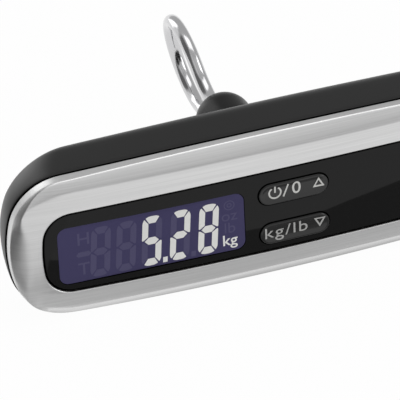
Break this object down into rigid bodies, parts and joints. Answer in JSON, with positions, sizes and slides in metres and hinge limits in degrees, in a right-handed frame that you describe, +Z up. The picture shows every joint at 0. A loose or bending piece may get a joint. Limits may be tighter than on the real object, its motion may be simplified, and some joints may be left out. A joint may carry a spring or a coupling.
{
  "type": "digital luggage scale",
  "caption": "Hand-held digital luggage scale: bowed grip with steel front, display window, press buttons, load cell inside and a swivelling wire hook behind.",
  "frame": {"origin": "middle of the grip on the load axis", "axes": "+X along the grip to the right of the display, +Y back along the load axis towards the hook, +Z up the display"},
  "size_m": [0.136, 0.0853, 0.041],
  "materials": {
    "steel_front": "brushed along the grip",
    "black_gloss": "polished",
    "display_glass": "gloss",
    "black_shell": "satin",
    "button_grey": "satin",
    "white_plastic": "satin",
    "inner_plastic": "matt",
    "soft_rubber": "matt",
    "board_green": "lacquered",
    "chip_black": "matt",
    "lead_film": "film",
    "hook_chrome": "polished",
    "zinc_steel": "zinc plated",
    "bar_aluminium": "milled",
    "washer_brass": "turned"
  },
  "bodies": {
    "grip": {"front_plate": "steel_front", "window_panel": "black_gloss", "window_gasket": "soft_rubber", "inner_frame": "inner_plastic", "lcd_cell": "display_glass", "backlight_panel": "white_plastic", "contact_strips": "soft_rubber", "power_switch": "inner_plastic", "set_switch": "inner_plastic", "circuit_board": "board_green", "controller_chip": "chip_black", "sensor_ribbon": "lead_film", "rear_shell": "black_shell", "housing_screws": "zinc_steel", "load_cell": "bar_aluminium", "load_cell_screws": "zinc_steel", "strain_gauges": "lead_film", "neck_collar": "black_shell", "stem_bush": "white_plastic", "thrust_washer": "washer_brass", "battery_tray": "inner_plastic", "coin_cell": "zinc_steel", "positive_contact": "washer_brass", "negative_contact": "washer_brass"},
    "power_button": {"power_button": "button_grey"},
    "set_button": {"set_button": "button_grey"},
    "hook_assembly": {"stem_nut": "zinc_steel", "hook_stem": "zinc_steel", "hook_cap": "black_shell", "hook": "hook_chrome"},
    "battery_door": {"battery_door": "black_shell", "door_seal": "soft_rubber"}
  },
  "joints": [
    {"name": "power_button_press", "type": "slide", "parent": "grip", "child": "power_button", "axis": [0, 1, 0], "range_m": [0, 0.0006], "stiffness_N_per_m": 1500},
    {"name": "set_button_press", "type": "slide", "parent": "grip", "child": "set_button", "axis": [0, 1, 0], "range_m": [0, 0.0006], "stiffness_N_per_m": 1500},
    {"name": "hook_swivel", "type": "hinge", "parent": "grip", "child": "hook_assembly", "pos_m": [0, 0.02281, 0], "axis": [0, 1, 0], "continuous": true},
    {"name": "battery_door_turn", "type": "hinge", "parent": "grip", "child": "battery_door", "pos_m": [-0.0375, 0.01139, 0], "axis": [0, 1, 0], "range_deg": [0, 45]}
  ]
}
